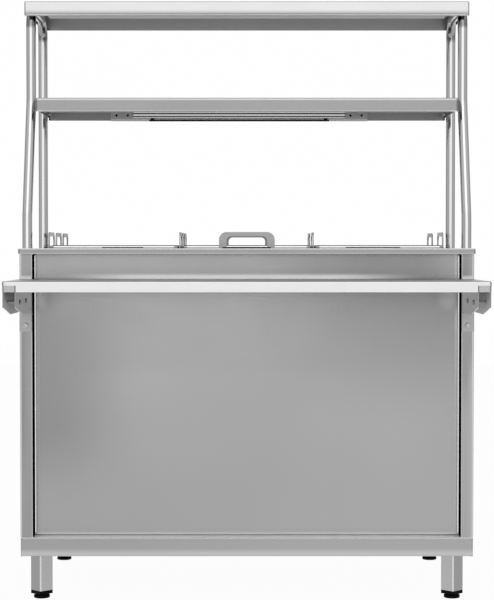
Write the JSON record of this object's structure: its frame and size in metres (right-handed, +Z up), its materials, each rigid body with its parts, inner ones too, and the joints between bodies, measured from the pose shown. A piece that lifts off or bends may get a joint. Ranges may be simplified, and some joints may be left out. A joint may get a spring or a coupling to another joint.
{
  "type": "bain marie counter",
  "caption": "Steel serving counter with a heated water bath, lidded containers with upright handles, a tray shelf on arms in front and a tube gantry with shelves and a lamp.",
  "frame": {"origin": "on the floor, under the middle of the whole footprint", "axes": "+X to the right as seen by a customer, -Y towards the customer, +Z up"},
  "size_m": [1.12, 1.01, 1.492],
  "materials": {
    "cabinet_steel": "fine grain, satin",
    "tube_steel": "polished",
    "bath_steel": "mill finish",
    "container_steel": "bright satin",
    "fastener_steel": "turned",
    "lamp_metal": "satin",
    "guard_black": "satin black",
    "lamp_glass": "clear",
    "lamp_ceramic": "matt white",
    "heater_steel": "heat tinted",
    "valve_brass": "cast and turned",
    "black_plastic": "fine texture",
    "switch_plastic": "gloss",
    "pilot_lens": "clear amber"
  },
  "bodies": {
    "counter": {"worktop": "cabinet_steel", "side_panel_left": "cabinet_steel", "side_panel_right": "cabinet_steel", "front_panel": "cabinet_steel", "bottom_shelf": "cabinet_steel", "control_fascia": "cabinet_steel", "upper_shelf": "cabinet_steel", "middle_shelf": "cabinet_steel", "tray_shelf": "cabinet_steel", "tray_brackets": "cabinet_steel", "tray_runners": "cabinet_steel", "legs": "cabinet_steel", "gantry_frame_left": "tube_steel", "gantry_frame_right": "tube_steel", "water_bath": "bath_steel", "bath_jacket": "bath_steel", "container_bars": "bath_steel", "gantry_sockets": "bath_steel", "drain_pipe": "bath_steel", "shelf_bolts": "fastener_steel", "tray_bolts": "fastener_steel", "lamp_reflector": "lamp_metal", "lamp_brackets": "lamp_metal", "lamp_guard": "guard_black", "lamp_tube": "lamp_glass", "lamp_sockets": "lamp_ceramic", "heating_elements": "heater_steel", "temperature_probe": "heater_steel", "drain_valve": "valve_brass", "leg_plugs": "black_plastic", "switch_housings": "black_plastic", "thermostat": "black_plastic", "cable_gland": "black_plastic", "pilot_lamps": "pilot_lens"},
    "container_full": {"container_full": "container_steel", "handles_full": "container_steel"},
    "container_half_front": {"container_half_front": "container_steel", "handles_half_front": "container_steel"},
    "container_half_rear": {"container_half_rear": "container_steel", "handles_half_rear": "container_steel"},
    "container_third_front": {"container_third_front": "container_steel", "handles_third_front": "container_steel"},
    "container_third_middle": {"container_third_middle": "container_steel", "handles_third_middle": "container_steel"},
    "container_third_rear": {"container_third_rear": "container_steel", "handles_third_rear": "container_steel"},
    "lid_full": {"lid_full": "container_steel"},
    "lid_half_front": {"lid_half_front": "container_steel"},
    "lid_half_rear": {"lid_half_rear": "container_steel"},
    "lid_third_front": {"lid_third_front": "container_steel"},
    "lid_third_middle": {"lid_third_middle": "container_steel"},
    "lid_third_rear": {"lid_third_rear": "container_steel"},
    "foot_front_left": {"foot_front_left": "black_plastic"},
    "foot_front_right": {"foot_front_right": "black_plastic"},
    "foot_rear_left": {"foot_rear_left": "black_plastic"},
    "foot_rear_right": {"foot_rear_right": "black_plastic"},
    "thermostat_knob": {"thermostat_knob": "black_plastic"},
    "heat_switch": {"heat_switch": "switch_plastic"},
    "light_switch": {"light_switch": "switch_plastic"},
    "drain_lever": {"drain_lever": "black_plastic"}
  },
  "joints": [
    {"name": "container_full_lift", "type": "slide", "parent": "counter", "child": "container_full", "axis": [0, 0, 1], "range_m": [0, 0.19]},
    {"name": "lid_full_lift", "type": "slide", "parent": "container_full", "child": "lid_full", "axis": [0, 0, 1], "range_m": [0, 0.08]},
    {"name": "container_half_front_lift", "type": "slide", "parent": "counter", "child": "container_half_front", "axis": [0, 0, 1], "range_m": [0, 0.19]},
    {"name": "lid_half_front_lift", "type": "slide", "parent": "container_half_front", "child": "lid_half_front", "axis": [0, 0, 1], "range_m": [0, 0.08]},
    {"name": "container_half_rear_lift", "type": "slide", "parent": "counter", "child": "container_half_rear", "axis": [0, 0, 1], "range_m": [0, 0.19]},
    {"name": "lid_half_rear_lift", "type": "slide", "parent": "container_half_rear", "child": "lid_half_rear", "axis": [0, 0, 1], "range_m": [0, 0.08]},
    {"name": "container_third_front_lift", "type": "slide", "parent": "counter", "child": "container_third_front", "axis": [0, 0, 1], "range_m": [0, 0.19]},
    {"name": "lid_third_front_lift", "type": "slide", "parent": "container_third_front", "child": "lid_third_front", "axis": [0, 0, 1], "range_m": [0, 0.08]},
    {"name": "container_third_middle_lift", "type": "slide", "parent": "counter", "child": "container_third_middle", "axis": [0, 0, 1], "range_m": [0, 0.19]},
    {"name": "lid_third_middle_lift", "type": "slide", "parent": "container_third_middle", "child": "lid_third_middle", "axis": [0, 0, 1], "range_m": [0, 0.08]},
    {"name": "container_third_rear_lift", "type": "slide", "parent": "counter", "child": "container_third_rear", "axis": [0, 0, 1], "range_m": [0, 0.19]},
    {"name": "lid_third_rear_lift", "type": "slide", "parent": "container_third_rear", "child": "lid_third_rear", "axis": [0, 0, 1], "range_m": [0, 0.08]},
    {"name": "foot_front_left_screw", "type": "slide", "parent": "counter", "child": "foot_front_left", "axis": [0, 0, -1], "range_m": [0, 0.02]},
    {"name": "foot_front_right_screw", "type": "slide", "parent": "counter", "child": "foot_front_right", "axis": [0, 0, -1], "range_m": [0, 0.02]},
    {"name": "foot_rear_left_screw", "type": "slide", "parent": "counter", "child": "foot_rear_left", "axis": [0, 0, -1], "range_m": [0, 0.02]},
    {"name": "foot_rear_right_screw", "type": "slide", "parent": "counter", "child": "foot_rear_right", "axis": [0, 0, -1], "range_m": [0, 0.02]},
    {"name": "knob_turn", "type": "hinge", "parent": "counter", "child": "thermostat_knob", "pos_m": [0.33, 0.476, 0.7806], "axis": [0, -1, 0], "range_deg": [0, 270]},
    {"name": "heat_switch_tip", "type": "hinge", "parent": "counter", "child": "heat_switch", "pos_m": [0.21, 0.477, 0.7806], "axis": [-1, 0, 0], "range_deg": [0, 20]},
    {"name": "light_switch_tip", "type": "hinge", "parent": "counter", "child": "light_switch", "pos_m": [0.15, 0.477, 0.7806], "axis": [-1, 0, 0], "range_deg": [0, 20]},
    {"name": "drain_lever_turn", "type": "hinge", "parent": "counter", "child": "drain_lever", "pos_m": [0.38, 0.416, 0.619], "axis": [0, 0, 1], "range_deg": [0, 90]}
  ]
}
